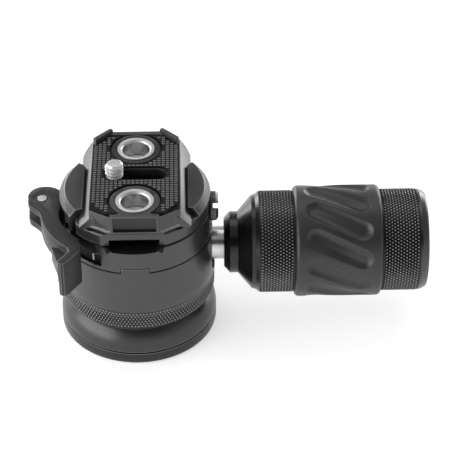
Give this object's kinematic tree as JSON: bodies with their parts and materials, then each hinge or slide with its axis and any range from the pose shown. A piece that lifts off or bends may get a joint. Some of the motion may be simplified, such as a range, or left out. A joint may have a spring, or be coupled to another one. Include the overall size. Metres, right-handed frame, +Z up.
{
  "type": "levelling head",
  "caption": "Ball-jointed tripod levelling head with a twist-lock side handle, a lever clamp and a sliding dovetail camera plate.",
  "frame": {"origin": "centre of the base's underside", "axes": "+Z up along the body's axis, +X along the handle, +Y away from the picture's viewer, along the camera plate"},
  "size_m": [0.1415, 0.0654, 0.0682],
  "materials": {
    "black_anodised": "satin black anodised aluminium",
    "black_jaw": "bead-blasted black anodised aluminium",
    "black_turned": "turned and knurled black anodised aluminium",
    "stainless": "turned stainless steel",
    "screw_steel": "blackened screw steel",
    "grip_rubber": "matt moulded rubber",
    "pad_rubber": "textured rubber",
    "brass": "machined brass",
    "ball_alloy": "turned aluminium",
    "nylon": "natural nylon",
    "white_paint": "white paint filled mark"
  },
  "bodies": {
    "base": {"base_plate": "black_anodised", "base_shell": "black_anodised", "thread_insert": "brass", "base_screws": "screw_steel", "pan_washer": "nylon"},
    "post": {"ball_post": "stainless", "levelling_ball": "ball_alloy", "ball_screw": "screw_steel"},
    "liner": {"ball_liner": "nylon"},
    "head": {"lower_housing": "black_anodised", "upper_seat_ring": "black_anodised", "shaft_bush": "black_turned", "collar": "black_anodised", "collar_screws": "screw_steel", "index_mark": "white_paint", "clamp_bridge": "black_anodised", "clamp_screws": "screw_steel", "right_jaw": "black_jaw", "right_jaw_screws": "screw_steel", "guide_pins": "stainless", "draw_bolt": "screw_steel", "jaw_spring": "screw_steel"},
    "handle": {"handle_shaft": "stainless", "handle_nose": "black_turned", "inner_knurl_ring": "black_turned", "handle_core": "black_anodised", "grip_rubber": "grip_rubber", "outer_knurl_ring": "black_turned", "handle_end_cap": "black_turned", "handle_bolt": "screw_steel"},
    "brake": {"brake_shoe": "brass"},
    "adjuster": {"adjuster_nut": "black_turned"},
    "lever": {"lever": "black_jaw", "lever_pin": "stainless"},
    "jaw": {"left_jaw": "black_jaw"},
    "plate": {"plate_body": "black_jaw", "plate_pad": "pad_rubber", "sling_sockets": "stainless"},
    "screw_carrier": {"screw_washer": "stainless"},
    "screw": {"camera_screw": "stainless"}
  },
  "joints": [
    {"name": "pan_turn", "type": "hinge", "parent": "base", "child": "post", "pos_m": [0, 0, 0.012], "axis": [0, 0, 1], "continuous": true},
    {"name": "level_pitch", "type": "hinge", "parent": "post", "child": "liner", "pos_m": [0, 0, 0.0328], "axis": [1, 0, 0], "range_deg": [-3, 3]},
    {"name": "level_roll", "type": "hinge", "parent": "liner", "child": "head", "pos_m": [0, 0, 0.0328], "axis": [0, 1, 0], "range_deg": [-3, 3]},
    {"name": "handle_twist", "type": "hinge", "parent": "head", "child": "handle", "pos_m": [0.06, 0, 0.0328], "axis": [1, 0, 0], "range_deg": [0, 180]},
    {"name": "brake_slide", "type": "slide", "parent": "head", "child": "brake", "axis": [1, 0, 0], "range_m": [0, 0.0005]},
    {"name": "adjuster_turn", "type": "hinge", "parent": "head", "child": "adjuster", "pos_m": [0.0275, 0, 0.0493], "axis": [1, 0, 0], "continuous": true},
    {"name": "lever_swing", "type": "hinge", "parent": "head", "child": "lever", "pos_m": [-0.0328, 0, 0.0493], "axis": [0, 0, -1], "range_deg": [0, 110]},
    {"name": "jaw_slide", "type": "slide", "parent": "head", "child": "jaw", "axis": [-1, 0, 0], "range_m": [0, 0.0015], "deforming": ["jaw_spring"]},
    {"name": "plate_slide", "type": "slide", "parent": "head", "child": "plate", "axis": [0, 1, 0], "range_m": [-0.02, 0.02]},
    {"name": "screw_shift", "type": "slide", "parent": "plate", "child": "screw_carrier", "axis": [1, 0, 0], "range_m": [0, 0.0148]},
    {"name": "screw_spin", "type": "hinge", "parent": "screw_carrier", "child": "screw", "pos_m": [-0.007, 0.0007, 0.06], "axis": [0, 0, 1], "continuous": true}
  ],
  "couplings": [
    {"joint": "brake_slide", "follows": "handle_twist", "m_per_rad": 0.00015915},
    {"joint": "jaw_slide", "follows": "lever_swing", "m_per_rad": 0.00078131}
  ]
}
